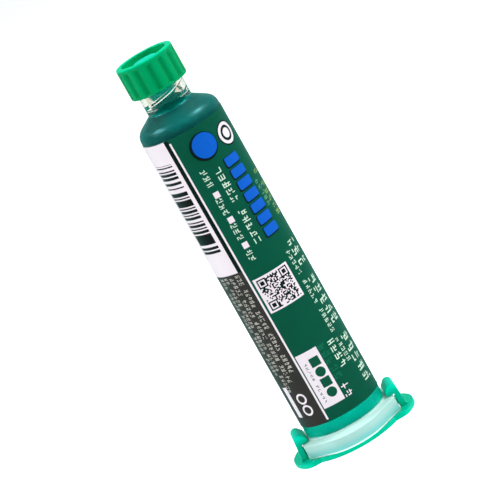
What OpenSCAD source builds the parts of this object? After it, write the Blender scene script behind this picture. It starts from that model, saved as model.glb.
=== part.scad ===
// Ten-millilitre dispensing syringe of solder mask ink, standing on its clip-on end cap.
// Z runs up the barrel, with the end cap's flat underside at z = 0 and the nozzle on top.
// The finger flange is longest along Y, and the end cap's hooks grip it along X.

/* [Barrel] */
// Outside diameter of the barrel
barrel_od = 18.5; // [15:0.1:24]
// Wall thickness of the barrel
barrel_wall = 1.3; // [0.9:0.05:1.8]
// Length of the straight tube, from the flange's underside to where the shoulder starts
tube_len = 76.6; // [66:0.2:100]
// Slope of the coned shoulder above the horizontal, in degrees
shoulder_slope = 33; // [20:1:45]
// Outside radius where the tube turns into the shoulder
shoulder_round = 2.6; // [2.2:0.1:3.4]
// Depth of the lead-in chamfer in the barrel's open end
mouth_chamfer = 0.4; // [0:0.1:0.8]

/* [Finger flange] */
// Reach of the flange's two flat sides out of the barrel, along X
flange_side = 1.75; // [1.2:0.05:3]
// Reach of the flange's two rounded noses out of the barrel, along Y
flange_reach = 3.55; // [3:0.05:6]
// Thickness of the flange
flange_t = 3.2; // [2:0.1:4.4]
// Radius of the flange's two rounded noses
flange_nose = 8.45; // [7:0.05:9.2]
// Radius of the fillet between the barrel and the flange
flange_fillet = 0.5; // [0.2:0.1:0.6]

/* [Nozzle and lock collar] */
// Outside diameter of the threaded lock collar
collar_od = 10.2; // [9.6:0.1:12]
// Bore of the lock collar
collar_id = 8; // [7.8:0.05:8.2]
// Height of the collar above the shoulder
collar_h = 7.3; // [6:0.1:9]
// Radius of the fillet between the shoulder and the collar
collar_fillet = 0.5; // [0.2:0.1:0.8]
// Diameter of the nozzle at its root
nozzle_root_d = 4.3; // [4.1:0.05:4.5]
// Taper of the nozzle, as loss of diameter per unit of length
nozzle_taper = 0.06; // [0.04:0.005:0.08]
// How far the nozzle stands out of the collar
nozzle_proud = 2.1; // [1.5:0.1:2.6]
// Diameter of the passage through the nozzle
passage_d = 2.4; // [1.6:0.1:2.6]

/* [Tip cap] */
// Wall thickness of the tip cap's fluted ring, between the flutes
ring_wall = 1.1; // [1:0.05:2]
// How much of the collar shows below the tip cap
collar_shown = 4.6; // [3:0.1:5]
// Thickness of the web that joins the fluted ring to the stem
web_t = 1.3; // [0.8:0.1:1.6]
// Diameter of the stem that seals on the nozzle
stem_d = 6.7; // [6.4:0.05:7]
// Gap between the stem's end and the nozzle's root
stem_gap = 0.4; // [0.2:0.1:2]
// Wall left round the socket at the stem's tapered end
stem_lip = 0.4; // [0.3:0.05:0.6]
// Height of the stem's tapered end
stem_taper = 1.7; // [0.6:0.1:2.4]
// Depth of the recess in the tip cap's top
recess_depth = 3; // [2.6:0.1:4]
// Width of the tip cap's rim round the recess in its top
rim_w = 1.3; // [0.9:0.05:1.6]
// Diameter of the boss in the middle of the top
boss_d = 5.7; // [5.2:0.1:6.6]
// Depth of the boss's top below the rim
boss_sunk = 0.8; // [0.4:0.1:1.2]
// Number of flutes around the ring
flute_count = 14; // [8:1:18]
// Radius of the cutter that makes a flute
flute_round = 1.6; // [1.2:0.1:2.4]
// Depth of a flute
flute_depth = 0.4; // [0.2:0.05:0.5]
// Height left smooth above and below the flutes
flute_margin = 0.45; // [0.3:0.05:0.8]
// Clearance of the two thread lugs in the collar
lug_clear = 0.15; // [0.1:0.05:0.3]
// Height of the thread lugs above the stem's tapered end
lug_rise = 1; // [0:0.1:1.2]
// Height of a thread lug
lug_h = 1.1; // [0.8:0.1:1.3]
// Width of a thread lug
lug_w = 2.6; // [1.8:0.1:3.2]

/* [End cap] */
// Thickness of the base plate
base_t = 1.1; // [0.9:0.1:1.8]
// Reach of the round base plate out of the barrel
base_reach = 2.45; // [2.2:0.05:4]
// Reach of an ear outwards beyond its hook, along X
ear_reach = 1.85; // [1.4:0.05:3]
// Reach of an ear to each side of its hook, along Y
ear_side = 3.8; // [2.6:0.1:4.2]
// Radius of an ear's outer edge
ear_round = 11.5; // [9.5:0.1:13]
// Radius of an ear's corners
ear_corner = 2.6; // [1.5:0.1:3.2]
// Height of the hooks above their lips' undersides
hook_rise = 1.8; // [1.6:0.1:4]
// Width of a hook, along Y
hook_w = 7.2; // [5:0.1:9]
// Thickness of a hook's stalk
hook_t = 1.3; // [0.9:0.05:1.6]
// Radius of a hook's rounded top
hook_round = 1.1; // [0.8:0.05:1.3]
// Lean of a hook towards the barrel at its top
hook_lean = 0.25; // [0:0.05:0.4]
// Radius of the fillet at the foot of a hook
hook_fillet = 0.8; // [0.3:0.1:1]
// Height of the vertical edge of a hook's lip
lip_edge = 0.5; // [0.3:0.1:0.8]
// Length of the closed plug above the base plate
plug_len = 8.5; // [7:0.1:12]
// Wall thickness of the hollow plug
plug_wall = 1.2; // [0.9:0.05:1.6]
// Relief of the plug's side below and above its broad sealing band
plug_relief = 0.3; // [0.15:0.05:0.4]
// Height of the plug's side below the sealing band, and of its taper above it
band_end = 0.9; // [0.6:0.1:1.2]

/* [Piston] */
// Length of the piston's skirt behind its wiper lip
piston_skirt = 12; // [9:0.2:14]
// Wall thickness of the piston
piston_wall = 1.3; // [1:0.05:1.8]
// Relief of the piston's side between its lips
piston_relief = 0.5; // [0.3:0.05:0.8]
// Height of each wiper lip
wiper_h = 1.8; // [1.2:0.1:2.6]
// Radius of the flat on the piston's nose
piston_nose = 1.4; // [1.3:0.1:2.5]

/* [Fill and label] */
// Room for air between the plug and the piston's back; the ink fills the rest
air_space = 5.7; // [1:0.1:20]
// Height of the label's lower edge above the flange
label_rise = 3.2; // [2:0.1:8]
// Height of the label's upper edge below the shoulder
label_drop = 0.7; // [0.5:0.1:6]
// Thickness of the label film
label_t = 0.1; // [0.06:0.01:0.2]
// Width of the gap between the label's two ends, at the back
label_gap = 2.5; // [1:0.1:10]

/* [Fits] */
// Clearance between a hook's stalk and the flange's flat side
flange_gap = 0.3; // [0.2:0.05:0.6]
// Clearance between a hook's lip and the flange's top
lip_gap = 0.6; // [0.3:0.05:1]
// Clearance between a hook's lip and the barrel
lip_clear = 0.35; // [0.25:0.05:0.6]
// Radial clearance of the piston and the plug in the barrel
bore_fit = 0.05; // [0.02:0.01:0.1]
// Radial clearance of the tip cap's socket on the nozzle
socket_fit = 0.05; // [0.02:0.01:0.1]
// Radial clearance of the tip cap's ring around the collar
ring_clear = 0.3; // [0.2:0.05:0.4]
// Gap between the collar's rim and the tip cap's web, and above the nozzle's tip
seat_gap = 0.3; // [0.2:0.05:0.4]
// Gap between the ink and the walls that hold it
ink_gap = 0.03; // [0.02:0.01:0.06]
// Gap between the label and the barrel
label_seat = 0.01; // [0.01:0.01:0.03]

/* [Hidden] */
$fn = 96;

// A cut runs this far past the faces that it opens
past = 1;

barrel_r = barrel_od / 2;
bore_r = barrel_r - barrel_wall;
bore_round = shoulder_round - barrel_wall;
passage_r = passage_d / 2;
collar_r = collar_od / 2;
collar_in = collar_id / 2;
flange_x = barrel_r + flange_side;
flange_y = barrel_r + flange_reach;

// Heights along the barrel
flange_z = base_t;
flange_top = flange_z + flange_t;
tube_top = flange_z + tube_len;
collar_z = tube_top + cone_rise(barrel_r, shoulder_round, collar_r);
root_z = tube_top + cone_rise(barrel_r, shoulder_round, nozzle_root_d / 2);
floor_z = tube_top + cone_rise(barrel_r, shoulder_round, collar_in);
collar_top = collar_z + collar_h;
nozzle_tip = collar_top + nozzle_proud;

// The tip cap: its web lies above the collar's rim and its socket covers the nozzle
cap_z = collar_z + collar_shown;
web_z = collar_top + seat_gap;
cap_top = web_z + web_t + recess_depth;
cap_h = cap_top - cap_z;
boss_top = cap_top - boss_sunk;
stem_z = root_z + stem_gap;
taper_z = stem_z + stem_taper;
lug_z = taper_z + lug_rise;
socket_top = nozzle_tip + seat_gap;
ring_in = collar_r + ring_clear;
cap_r = ring_in + ring_wall;
recess_r = cap_r - rim_w;
edge_break = 0.3;

// The end cap
hook_in = flange_x + flange_gap;
hook_out = hook_in + hook_t;
lip_x = barrel_r + lip_clear;
lip_z = flange_top + lip_gap;
hook_h = lip_z + hook_rise;
base_r = barrel_r + base_reach;
ears_x = hook_out + ear_reach;
ear_w = hook_w + 2 * ear_side;
plug_r = bore_r - bore_fit;
plug_h = base_t + plug_len;

// The piston's wiper edge and the fill above it
piston_r = bore_r - bore_fit;
piston_edge = plug_h + air_space + piston_skirt;
ink_len = tube_top - piston_edge;

// Rise of a coned shoulder above the tube's top, at radius x
function cone_rise(r, round, x) =
    round * cos(shoulder_slope)
    + (r - round + round * sin(shoulder_slope) - x) * tan(shoulder_slope);

// Radius of the nozzle at height z
function nozzle_r(z) = nozzle_root_d / 2 - (z - root_z) * nozzle_taper / 2;

// Half of a coned tube end: it reaches down by depth and its cone is cut off at radius tip.
// The origin lies on the axis where the shoulder starts.
module coned_half(r, round, depth, tip) {
    translate([0, -depth]) square([r, depth]);
    translate([r - round, 0]) circle(r = round);
    polygon([
        [0, 0],
        [r - round, 0],
        [r - round + round * sin(shoulder_slope), round * cos(shoulder_slope)],
        [tip, cone_rise(r, round, tip)],
        [0, cone_rise(r, round, tip)]
    ]);
}

// Flange outline: two round noses along Y, tangent slopes and two flat sides
module flange_outline() {
    slope = 45;
    nose_y = flange_y - flange_nose;
    touch = flange_nose * cos(slope);
    side_y = nose_y + flange_nose / cos(slope) - flange_x;
    for (s = [-1, 1]) translate([0, s * nose_y]) circle(r = flange_nose);
    polygon([
        [flange_x, -side_y],
        [flange_x, side_y],
        [touch, nose_y + touch],
        [-touch, nose_y + touch],
        [-flange_x, side_y],
        [-flange_x, -side_y],
        [-touch, -nose_y - touch],
        [touch, -nose_y - touch]
    ]);
}

// Everything on the barrel that is round: tube, shoulder, lock collar and nozzle
module barrel_section() {
    fillet_x = collar_r + collar_fillet;
    fillet_z = collar_z + collar_fillet / cos(shoulder_slope) - collar_fillet * tan(shoulder_slope);
    difference() {
        union() {
            translate([0, tube_top])
                coned_half(barrel_r, shoulder_round, tube_len, collar_r);
            translate([0, tube_top]) square([collar_r, collar_top - tube_top]);
            polygon([
                [0, root_z],
                [nozzle_r(root_z), root_z],
                [nozzle_r(nozzle_tip), nozzle_tip - edge_break],
                [nozzle_r(nozzle_tip) - edge_break, nozzle_tip],
                [0, nozzle_tip]
            ]);
            // Fillet between the shoulder and the collar
            polygon([
                [0, collar_z],
                [0, fillet_z],
                [fillet_x, fillet_z],
                [fillet_x - collar_fillet * sin(shoulder_slope),
                 fillet_z - collar_fillet * cos(shoulder_slope)]
            ]);
            // Fillet between the barrel and the flange
            translate([0, flange_top]) square([barrel_r + flange_fillet, flange_fillet]);
        }
        translate([fillet_x, fillet_z]) circle(r = collar_fillet);
        translate([barrel_r + flange_fillet, flange_top + flange_fillet])
            circle(r = flange_fillet);
        translate([0, tube_top])
            coned_half(bore_r, bore_round, tube_len + past, passage_r);
        square([passage_r, nozzle_tip + past]);
        // Room between the nozzle and the collar; its floor goes on with the shoulder's slope
        polygon([
            [nozzle_r(root_z), root_z],
            [collar_in, floor_z],
            [collar_in, collar_top + past],
            [nozzle_r(collar_top + past), collar_top + past]
        ]);
        // Lead-in chamfer of the open end
        polygon([
            [bore_r, flange_z + mouth_chamfer],
            [bore_r + mouth_chamfer, flange_z],
            [bore_r + mouth_chamfer, flange_z - past],
            [0, flange_z - past],
            [0, flange_z + mouth_chamfer]
        ]);
    }
}

module barrel() {
    color([0.80, 0.90, 0.87, 0.55]) union() {
        rotate_extrude() barrel_section();
        translate([0, 0, flange_z]) linear_extrude(flange_t) difference() {
            flange_outline();
            circle(r = barrel_r - barrel_wall / 2);
        }
    }
}

// Thin film round the barrel, open along a narrow strip at the back
module label() {
    inner = barrel_r + label_seat;
    gap_angle = label_gap / barrel_r * 180 / PI;
    low = flange_top + label_rise;
    color([0.0, 0.37, 0.29])
        rotate([0, 0, 90 + gap_angle / 2])
            rotate_extrude(angle = 360 - gap_angle)
                translate([inner, low]) square([label_t, tube_top - label_drop - low]);
}

// The fill follows the bore, the cone and the passage, and sits on the piston's nose
module solder_mask_ink() {
    ink_r = bore_r - ink_gap;
    ink_round = bore_round - ink_gap;
    color([0.0, 0.40, 0.36]) rotate_extrude() difference() {
        union() {
            translate([0, tube_top])
                coned_half(ink_r, ink_round, ink_len, passage_r - ink_gap);
            translate([0, tube_top])
                square([passage_r - ink_gap, nozzle_tip - ink_gap - tube_top]);
        }
        translate([0, piston_edge + ink_gap])
            coned_half(bore_r, bore_round, wiper_h, piston_nose);
    }
}

// Hollow follower with a coned nose and two wiper lips
module piston() {
    side_r = piston_r - piston_relief;
    front_round = bore_round - bore_fit;
    core_r = side_r - piston_wall;
    color([0.90, 0.90, 0.86]) rotate_extrude() difference() {
        translate([0, piston_edge])
            coned_half(piston_r, front_round, piston_skirt, piston_nose);
        // Waist between the two lips
        polygon([
            [side_r, piston_edge - wiper_h - piston_relief],
            [piston_r + past, piston_edge - wiper_h + past],
            [piston_r + past, piston_edge - piston_skirt + wiper_h],
            [side_r, piston_edge - piston_skirt + wiper_h + piston_relief]
        ]);
        // Hollow back
        translate([0, piston_edge - piston_wall / cos(shoulder_slope)])
            coned_half(core_r, front_round, piston_skirt, piston_nose);
    }
}

// The tip cap's ring, web, boss and stem, without its flutes and lugs
module tip_cap_section() {
    difference() {
        union() {
            polygon([
                [0, cap_z],
                [cap_r - edge_break, cap_z],
                [cap_r, cap_z + edge_break],
                [cap_r, cap_top - edge_break],
                [cap_r - edge_break, cap_top],
                [0, cap_top]
            ]);
            polygon([
                [0, stem_z],
                [nozzle_r(stem_z) + socket_fit + stem_lip, stem_z],
                [stem_d / 2, taper_z],
                [stem_d / 2, web_z],
                [0, web_z]
            ]);
        }
        // Room for the collar between the stem and the ring
        translate([stem_d / 2, cap_z - past]) square([ring_in - stem_d / 2, web_z - cap_z + past]);
        // Recess in the top, round the boss
        translate([boss_d / 2, web_z + web_t])
            square([recess_r - boss_d / 2, cap_top - web_z]);
        translate([0, boss_top]) square([boss_d / 2 + edge_break, cap_top - boss_top + past]);
        // Tapered socket on the nozzle
        polygon([
            [0, stem_z - past],
            [nozzle_r(stem_z - past) + socket_fit, stem_z - past],
            [nozzle_r(socket_top) + socket_fit, socket_top],
            [0, socket_top]
        ]);
    }
}

module tip_cap() {
    lug_r = collar_in - lug_clear;
    color([0.0, 0.66, 0.38]) difference() {
        union() {
            rotate_extrude() tip_cap_section();
            // Two thread lugs above the stem's tapered end
            intersection() {
                translate([-lug_r, -lug_w / 2, lug_z]) cube([2 * lug_r, lug_w, lug_h]);
                difference() {
                    translate([0, 0, lug_z]) cylinder(h = lug_h, r = lug_r);
                    translate([0, 0, lug_z - past])
                        cylinder(h = lug_h + 2 * past, r = stem_d / 2 - edge_break);
                }
            }
        }
        for (i = [0 : flute_count - 1])
            rotate([0, 0, (i + 0.5) * 360 / flute_count])
                translate([cap_r + flute_round - flute_depth, 0, cap_z + flute_margin])
                    cylinder(h = cap_h - 2 * flute_margin, r = flute_round);
    }
}

// One ear of the base plate, towards +X: an arc with two tangent corner circles
module ear_outline() {
    centre_x = ears_x - ear_round;
    corner_y = ear_w / 2 - ear_corner;
    reach = ear_round - ear_corner;
    corner_x = centre_x + sqrt(reach * reach - corner_y * corner_y);
    stretch = ear_round / reach;
    for (s = [-1, 1]) translate([corner_x, s * corner_y]) circle(r = ear_corner);
    translate([0, -ear_w / 2]) square([corner_x, ear_w]);
    intersection() {
        translate([centre_x, 0]) circle(r = ear_round);
        polygon([
            [centre_x, 0],
            [centre_x + (corner_x - centre_x) * stretch * 2, -corner_y * stretch * 2],
            [centre_x + (corner_x - centre_x) * stretch * 2, corner_y * stretch * 2]
        ]);
    }
}

// Side view of one hook, x outwards and y up: stalk, ramped lip, round top and foot fillet
module hook_profile() {
    top_x = hook_out - hook_lean - hook_round;
    top_z = hook_h - hook_round;
    ramp_z = lip_z + lip_edge;
    span = norm([top_x - lip_x, top_z - ramp_z]);
    ramp = atan2(top_z - ramp_z, top_x - lip_x) + asin(hook_round / span);
    intersection() {
        translate([top_x, top_z]) circle(r = hook_round);
        translate([lip_x, lip_z]) square([hook_out - lip_x, hook_rise]);
    }
    polygon([
        [hook_in, 0],
        [hook_out, 0],
        [hook_out, base_t],
        [top_x + hook_round, top_z],
        [top_x, top_z],
        [top_x - hook_round * sin(ramp), top_z + hook_round * cos(ramp)],
        [lip_x, ramp_z],
        [lip_x, lip_z],
        [hook_in, lip_z]
    ]);
    difference() {
        translate([hook_in, 0]) square([hook_t + hook_fillet, base_t + hook_fillet]);
        translate([hook_out + hook_fillet, base_t + hook_fillet]) circle(r = hook_fillet);
    }
}

// Side view of the closed plug, with a broad sealing band between its root and its tapered tip
module plug_section() {
    body_r = plug_r - plug_relief;
    flank = band_end / 2;
    difference() {
        polygon([
            [0, 0],
            [body_r, 0],
            [body_r, base_t + band_end],
            [plug_r, base_t + band_end + flank],
            [plug_r, plug_h - band_end],
            [body_r - plug_relief, plug_h],
            [0, plug_h]
        ]);
        translate([0, -past]) square([body_r - plug_wall, plug_h - plug_wall + past]);
    }
}

// Clip-on end cap: round plate, two ears with hooks, and the hollow plug
module end_cap() {
    cup_r = plug_r - plug_relief - plug_wall;
    color([0.0, 0.74, 0.57]) union() {
        linear_extrude(base_t) difference() {
            union() {
                circle(r = base_r);
                ear_outline();
                mirror([1, 0]) ear_outline();
            }
            circle(r = cup_r);
            // A window under each lip lets the moulding come off its tool
            for (s = [-1, 1])
                translate([s * (lip_x + hook_in) / 2, 0])
                    square([hook_in - lip_x, hook_w], center = true);
        }
        for (side = [0, 180])
            rotate([0, 0, side])
                rotate([90, 0, 0])
                    linear_extrude(hook_w, center = true) hook_profile();
        rotate_extrude() plug_section();
    }
}

end_cap();
barrel();
label();
solder_mask_ink();
piston();
tip_cap();
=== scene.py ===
"""A 10 ml dispensing syringe of solder mask ink, standing on its clip-on end cap.

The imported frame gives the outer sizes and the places, and the values below add the walls,
rounds and threads, in millimetres. Each piece is modelled by hand, stands for the frame's
node of the same part, and gets the finish of the real one.
"""

import math

import bpy
from mathutils import Matrix, Quaternion, Vector


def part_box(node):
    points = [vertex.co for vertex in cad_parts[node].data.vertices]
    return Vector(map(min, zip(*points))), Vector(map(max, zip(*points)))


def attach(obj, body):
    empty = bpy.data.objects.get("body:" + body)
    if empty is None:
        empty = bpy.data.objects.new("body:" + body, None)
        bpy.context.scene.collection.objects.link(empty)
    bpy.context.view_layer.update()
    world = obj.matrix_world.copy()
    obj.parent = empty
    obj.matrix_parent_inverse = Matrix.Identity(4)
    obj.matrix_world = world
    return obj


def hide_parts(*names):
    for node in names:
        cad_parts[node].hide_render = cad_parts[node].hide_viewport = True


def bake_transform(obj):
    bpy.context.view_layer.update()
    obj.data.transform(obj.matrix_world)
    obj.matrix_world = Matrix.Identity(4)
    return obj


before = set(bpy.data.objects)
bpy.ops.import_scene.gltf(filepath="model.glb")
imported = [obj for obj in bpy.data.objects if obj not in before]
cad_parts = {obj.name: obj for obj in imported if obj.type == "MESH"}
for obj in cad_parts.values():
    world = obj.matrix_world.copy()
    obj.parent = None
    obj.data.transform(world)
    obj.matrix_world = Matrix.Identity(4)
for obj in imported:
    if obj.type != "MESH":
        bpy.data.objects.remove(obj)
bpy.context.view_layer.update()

MM = 0.001  # metres in a millimetre
ROUND_STEPS = 128  # faces round a turned piece
ARC_STEP = math.radians(15)  # widest step round a rounded corner
SHARP = math.radians(32)  # an edge that turns further stays sharp
WELD = 1e-7  # vertices closer than this many metres are merged
CUT_PAST = 1  # how far a cutting solid reaches past what it cuts
HAIR = 0.01  # a hair's breadth, for the smallest gap or tolerance


def node_box(node):
    """A node's lowest and highest corners, in millimetres."""
    low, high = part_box(node)
    return low / MM, high / MM


# Barrel
barrel_low, barrel_high = node_box("barrel")
barrel_r = 9.25
wall = 1.3
bore_r = barrel_r - wall
bore_fit = 0.05  # clearance of the piston and the plug
slope = math.radians(33)
shoulder_round = 2.6
bore_round = shoulder_round - wall
flange_low = barrel_low.z
flange_t = 3.2
flange_top = flange_low + flange_t
flange_x = barrel_high.x
flange_y = barrel_high.y
flange_nose = 8.45
flange_fillet = 0.5
flange_edge = 0.35
tube_top = flange_low + 76.6
mouth_chamfer = 0.4
collar_r = 5.1
collar_in = 4.0
collar_top = barrel_high.z - 2.1
nozzle_tip = barrel_high.z
nozzle_root_r = 2.15
nozzle_slope = 0.03
passage_r = 1.2


def cone_rise(r, edge_round, x):
    """Rise of a coned shoulder above the tube's top, at radius x."""
    flat = r - edge_round + edge_round * math.sin(slope)
    return edge_round * math.cos(slope) + (flat - x) * math.tan(slope)


collar_z = tube_top + cone_rise(barrel_r, shoulder_round, collar_r)
floor_z = tube_top + cone_rise(barrel_r, shoulder_round, collar_in)
root_z = tube_top + cone_rise(barrel_r, shoulder_round, nozzle_root_r)


def nozzle_r(z):
    """Radius of the tapered nozzle at height z."""
    return nozzle_root_r - (z - root_z) * nozzle_slope


# Lock collar's thread: two starts on a lead of 5 mm
thread_lead = 5.0
thread_starts = 2
thread_height = 0.38
thread_root_w = 0.8
thread_crest_w = 0.4
thread_front_z = 84.84  # where a ridge crosses the front, as the photograph shows
thread_run_in = 0.3
thread_sunk = 0.2
thread_steps = 72

# Piston and ink
piston_low, piston_high = node_box("piston")
piston_r = piston_high.x
piston_back = piston_low.z
piston_edge = piston_back + 12
piston_round = bore_round - bore_fit
piston_nose_r = 1.4
piston_wall = 1.3
piston_relief = 0.5
wiper_h = 1.8
wetting = 0.01  # how far ink and plug reach into the wall, so that it looks wetted
ink_film = 0.03  # clearance between the ink and the piston
ink_nose_z = piston_high.z + ink_film
ink_top = nozzle_tip - 0.15

# Tip cap
tip_low, tip_high = node_box("tip_cap")
tip_r = tip_high.x
tip_top = tip_high.z
tip_bottom = collar_z + 4.6
rim_round = 0.35
foot_round = 0.3
stem_r = 3.35
stem_end = tip_low.z
stem_end_r = nozzle_r(stem_end) + 0.45
taper_top = stem_end + 1.7
socket_fit = 0.05
socket_top = nozzle_tip + 0.3
web_low = collar_top + 0.3
web_top = web_low + 1.3
ring_in = collar_r + 0.3
recess_r = tip_r - 1.3
boss_r = 2.85
boss_top = tip_top - 0.8
flute_count = 14
flute_depth = 0.42
flute_half = math.radians(10)
flute_steps = 16
flute_top = tip_top - 0.45
flute_top_fade = 0.9
flute_foot = tip_bottom + 0.25
flute_foot_fade = 0.5
lug_r = 3.85
lug_w = 2.6
lug_h = 1.1
lug_rise = 1.0
lug_sunk = 0.3
lug_edge = 0.12

# End cap
cap_high = node_box("end_cap")[1]
plate_t = flange_low
plate_r = cap_high.y
plate_edge = 0.35
ears_x = cap_high.x
ear_half = 7.4
ear_round = 11.5
ear_corner = 2.6
hook_w = 7.2
hook_in = flange_x + 0.3
hook_t = 1.3
hook_out = hook_in + hook_t
hook_top = 6.7
hook_round = 1.1
hook_lean = 0.25
hook_fillet = 0.8
hook_edge = 0.42
lip_x = barrel_r + 0.35
lip_z = flange_top + 0.15
lip_edge = 0.95
window_inset = 0.1
window_edge = 0.05
plug_r = bore_r - bore_fit
plug_relief = 0.3
plug_wall = 1.2
plug_top = cap_high.z
band_end = 0.9

# Label
label_low, label_high = node_box("label")
label_r = label_high.x
label_t = 0.1
label_gap = 2.5
label_askew = math.radians(0.39)


# Modelling by hand: a line is drawn out from one vertex, then spun or extruded

def rounded(corners, closed=True):
    """The line through corners (across, up, radius), each rounded to its radius."""
    line = []
    last = len(corners) - 1
    for i, (across, up, radius) in enumerate(corners):
        here = Vector((across, up))
        if radius == 0 or (not closed and i in (0, last)):
            line.append(here)
            continue
        before = (Vector(corners[i - 1][:2]) - here).normalized()
        after = (Vector(corners[(i + 1) % len(corners)][:2]) - here).normalized()
        half = before.angle(after) / 2
        centre = here + (before + after).normalized() * radius / math.sin(half)
        start = here + before * radius / math.tan(half) - centre
        sweep = math.pi - 2 * half
        if before.x * after.y - before.y * after.x > 0:
            sweep = -sweep
        steps = max(2, math.ceil(abs(sweep) / ARC_STEP))
        for k in range(steps + 1):
            line.append(centre + Matrix.Rotation(sweep * k / steps, 2) @ start)
    return line


def draw_line(name, points, closed):
    """A new piece that is one vertex, drawn out along the points, given in millimetres."""
    bpy.ops.object.select_all(action="DESELECT")
    bpy.ops.mesh.primitive_plane_add(size=MM)
    piece = bpy.context.object
    piece.name = name
    piece.data.name = name
    bpy.ops.object.mode_set(mode="EDIT")
    bpy.ops.mesh.select_all(action="SELECT")
    bpy.ops.mesh.merge(type="CENTER")
    bpy.ops.transform.translate(value=points[0] * MM)
    route = points + points[:1] if closed else points
    for here, there in zip(route, route[1:]):
        bpy.ops.mesh.extrude_vertices_move(TRANSFORM_OT_translate={"value": (there - here) * MM})
    bpy.ops.mesh.select_all(action="SELECT")
    bpy.ops.mesh.remove_doubles(threshold=WELD)
    return piece


def close_up():
    """Merges doubles, turns the faces outwards and leaves edit mode."""
    bpy.ops.mesh.select_all(action="SELECT")
    bpy.ops.mesh.remove_doubles(threshold=WELD)
    bpy.ops.mesh.normals_make_consistent(inside=False)
    bpy.ops.object.mode_set(mode="OBJECT")


def lathe(name, corners, closed=True, steps=ROUND_STEPS):
    """A piece turned round the barrel's axis from its section's corners (radius, height, round)."""
    section = [Vector((p.x, 0, p.y)) for p in rounded(corners, closed)]
    piece = draw_line(name, section, closed)
    bpy.ops.mesh.spin(steps=steps, angle=2 * math.pi, center=(0, 0, 0), axis=(0, 0, 1))
    close_up()
    return piece


def prism(name, outline, depth, edge):
    """A closed outline, filled, extruded by the vector depth, and its sharp edges rounded."""
    piece = draw_line(name, outline, True)
    bpy.ops.mesh.edge_face_add()
    bpy.ops.mesh.extrude_region_move(TRANSFORM_OT_translate={"value": depth * MM})
    bpy.ops.mesh.select_all(action="SELECT")
    bpy.ops.mesh.normals_make_consistent(inside=False)
    bpy.ops.mesh.select_all(action="DESELECT")
    bpy.ops.mesh.edges_select_sharp(sharpness=SHARP)
    bpy.ops.mesh.bevel(offset=edge * MM, segments=4, affect="EDGES", clamp_overlap=True)
    close_up()
    return piece


def combine(piece, tool, operation):
    """Adds the tool's solid to the piece, or cuts it out, and removes the tool."""
    change = piece.modifiers.new(operation, "BOOLEAN")
    change.operation = operation
    change.solver = "EXACT"
    change.object = tool
    bpy.context.view_layer.objects.active = piece
    bpy.ops.object.modifier_apply(modifier=change.name)
    bpy.data.objects.remove(tool)


def arc(centre_x, centre_y, radius, start, end, steps):
    """Points along an arc in the XY plane, from one angle to another, in degrees."""
    points = []
    for k in range(steps + 1):
        turn = math.radians(start + (end - start) * k / steps)
        points.append(Vector((centre_x + radius * math.cos(turn), centre_y + radius * math.sin(turn), 0)))
    return points


def lifted(points, height):
    """The same points at another height."""
    return [Vector((p.x, p.y, height)) for p in points]


# Pieces

def flange_outline():
    """Two round noses along Y, tangent slopes of 45 degrees and two flat sides along X."""
    nose_y = flange_y - flange_nose
    side_y = nose_y + flange_nose * math.sqrt(2) - flange_x
    front = arc(0, -nose_y, flange_nose, 225, 315, 24)
    back = arc(0, nose_y, flange_nose, 45, 135, 24)
    right = [Vector((flange_x, -side_y, 0)), Vector((flange_x, side_y, 0))]
    left = [Vector((-flange_x, side_y, 0)), Vector((-flange_x, -side_y, 0))]
    return front + right + back + left


def make_flange():
    """The finger flange, with a hole that leaves it joined to the tube's wall."""
    rise = Vector((0, 0, flange_t))
    flange = prism("flange", lifted(flange_outline(), flange_low), rise, flange_edge)
    inside = barrel_r - wall / 2
    hole = lathe("hole", [
        (0, flange_low - CUT_PAST, 0),
        (inside, flange_low - CUT_PAST, 0),
        (inside, flange_top + CUT_PAST, 0),
        (0, flange_top + CUT_PAST, 0),
    ], closed=False)
    combine(flange, hole, "DIFFERENCE")
    return flange


def thread_ridge(start):
    """One start of the lock collar's right-hand thread, sunk a little into the collar's wall."""
    crest = collar_in - thread_height
    turns = (collar_top - floor_z) / thread_lead
    low_z = floor_z - thread_run_in
    front = -90
    turn_at_low = front + (low_z - thread_front_z) / thread_lead * 360 + start * 360 / thread_starts
    section = [
        Vector((collar_in + thread_sunk, -thread_root_w / 2)),
        Vector((collar_in, -thread_root_w / 2)),
        Vector((crest, -thread_crest_w / 2)),
        Vector((crest, thread_crest_w / 2)),
        Vector((collar_in, thread_root_w / 2)),
        Vector((collar_in + thread_sunk, thread_root_w / 2)),
    ]
    turn = math.radians(turn_at_low)
    points = [Vector((p.x * math.cos(turn), p.x * math.sin(turn), low_z + p.y)) for p in section]
    ridge = draw_line("thread_ridge", points, True)
    bpy.ops.object.mode_set(mode="OBJECT")
    screw = ridge.modifiers.new("Screw", "SCREW")
    screw.axis = "Z"
    screw.angle = turns * 2 * math.pi
    screw.screw_offset = turns * thread_lead * MM
    screw.steps = screw.render_steps = thread_steps
    screw.use_merge_vertices = False
    bpy.ops.object.modifier_apply(modifier="Screw")
    bpy.ops.object.mode_set(mode="EDIT")
    bpy.ops.mesh.select_mode(type="EDGE")
    bpy.ops.mesh.select_all(action="DESELECT")
    bpy.ops.mesh.select_non_manifold(use_multi_face=False, use_non_contiguous=False, use_verts=False)
    bpy.ops.mesh.fill_holes(sides=len(section))
    bpy.ops.mesh.select_mode(type="VERT")
    close_up()
    return ridge


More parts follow.
